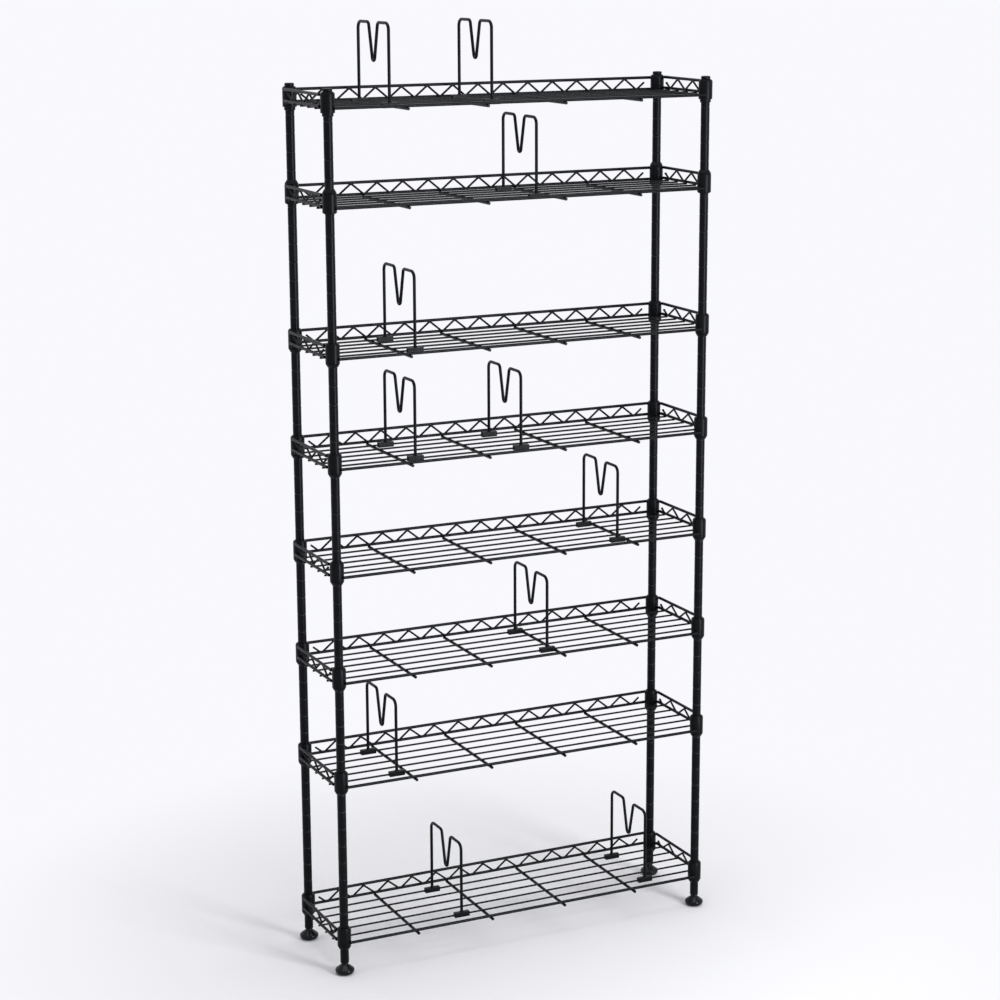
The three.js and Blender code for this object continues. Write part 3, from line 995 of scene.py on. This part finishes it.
def mixed_shader(tree, share, first, second, output):
    mix = tree.nodes.new("ShaderNodeMixShader")
    tree.links.new(share, mix.inputs["Fac"])
    tree.links.new(first, mix.inputs[1])
    tree.links.new(second, mix.inputs[2])
    tree.links.new(mix.outputs[0], output.inputs["Surface"])


def make_world():
    world = bpy.data.worlds.new("studio")
    world.use_nodes = True
    tree = world.node_tree
    tree.nodes.clear()
    output = tree.nodes.new("ShaderNodeOutputWorld")
    light = tree.nodes.new("ShaderNodeBackground")
    shown = tree.nodes.new("ShaderNodeBackground")
    light.inputs["Color"].default_value = (1, 1, 1, 1)
    light.inputs["Strength"].default_value = AMBIENT
    shown.inputs["Color"].default_value = (*BACKDROP, 1)
    shown.inputs["Strength"].default_value = 1
    mixed_shader(tree, seen_or_reflected(tree), light.outputs[0], shown.outputs[0], output)
    bpy.context.scene.world = world


def make_floor():
    """Pale floor that takes the shadow near the tower and fades into the backdrop further out."""
    half = FLOOR_SIZE / 2
    mesh = bpy.data.meshes.new("floor")
    corners = [(-half, -half, 0), (half, -half, 0), (half, half, 0), (-half, half, 0)]
    mesh.from_pydata(corners, [], [(0, 1, 2, 3)])
    floor = place_mesh("floor", mesh)
    material, tree, shader = new_material("floor")
    shader.inputs["Base Color"].default_value = (*BACKDROP, 1)
    shader.inputs["Roughness"].default_value = FLOOR_ROUGHNESS
    shader.inputs["Specular IOR Level"].default_value = FLOOR_GLOSS
    distance = tree.nodes.new("ShaderNodeVectorMath")
    distance.operation = "LENGTH"
    tree.links.new(tree.nodes.new("ShaderNodeTexCoord").outputs["Object"], distance.inputs[0])
    fade = tree.nodes.new("ShaderNodeMapRange")
    fade.interpolation_type = "SMOOTHSTEP"
    fade.inputs["From Min"].default_value = FLOOR_FADE_START
    fade.inputs["From Max"].default_value = FLOOR_FADE_END
    tree.links.new(distance.outputs["Value"], fade.inputs["Value"])
    glow = tree.nodes.new("ShaderNodeEmission")
    glow.inputs["Color"].default_value = (*BACKDROP, 1)
    share = multiplied(tree, seen_or_reflected(tree), fade.outputs["Result"])
    mixed_shader(tree, share, shader.outputs[0], glow.outputs[0], tree.nodes["Material Output"])
    mesh.materials.append(material)


def add_lamp(name, place, width, height, watts):
    lamp = bpy.data.lights.new(name, "AREA")
    lamp.shape = "RECTANGLE"
    lamp.size = width
    lamp.size_y = height
    lamp.energy = watts
    piece = bpy.data.objects.new(name, lamp)
    piece.visible_camera = False
    piece.location = place
    piece.rotation_euler = (Vector(LAMP_TARGET) - Vector(place)).to_track_quat("-Z", "Y").to_euler()
    bpy.context.scene.collection.objects.link(piece)


CAMERA_PLACE = (-1.5119, -3.1383, 1.4658)
CAMERA_YAW = 0.4477
CAMERA_PITCH = -0.2272
CAMERA_ROLL = -0.0045
CAMERA_FOCAL_PIXELS = 2436.4
CAMERA_REACH = 100
IMAGE_PIXELS = 1000
SENSOR_MM = 36.0


def make_camera():
    data = bpy.data.cameras.new("camera")
    data.sensor_width = SENSOR_MM
    data.lens = CAMERA_FOCAL_PIXELS * SENSOR_MM / IMAGE_PIXELS
    data.clip_end = CAMERA_REACH
    ahead = Vector(
        (
            math.sin(CAMERA_YAW) * math.cos(CAMERA_PITCH),
            math.cos(CAMERA_YAW) * math.cos(CAMERA_PITCH),
            math.sin(CAMERA_PITCH),
        )
    )
    level_right = Vector((math.cos(CAMERA_YAW), -math.sin(CAMERA_YAW), 0))
    level_up = level_right.cross(ahead)
    right = level_right * math.cos(CAMERA_ROLL) + level_up * math.sin(CAMERA_ROLL)
    up = level_up * math.cos(CAMERA_ROLL) - level_right * math.sin(CAMERA_ROLL)
    turn = Matrix((right, up, -ahead)).transposed().to_4x4()
    camera = bpy.data.objects.new("camera", data)
    camera.matrix_world = Matrix.Translation(CAMERA_PLACE) @ turn
    bpy.context.scene.collection.objects.link(camera)
    bpy.context.scene.camera = camera


steel = coated_steel()
# Lighter steel for the grooves' lower edges: wear plus a painted highlight.
worn_and_highlit = worn_and_highlit_steel()
plastic = moulded_plastic()
gloss = glossy_plastic()
metal = zinc()

make_camera()
make_shelves(steel)
make_posts(steel, worn_and_highlit, plastic, metal)
make_sleeves(plastic)
make_feet(gloss, metal)
make_dividers(steel, plastic)
make_world()
make_floor()
add_lamp("key", place=(0.9, -2.2, 0.97), width=0.6, height=1.9, watts=50)
add_lamp("top", place=(0.1, 0.2, 3.6), width=3.0, height=3.0, watts=54)

bpy.context.scene.view_settings.view_transform = "Standard"
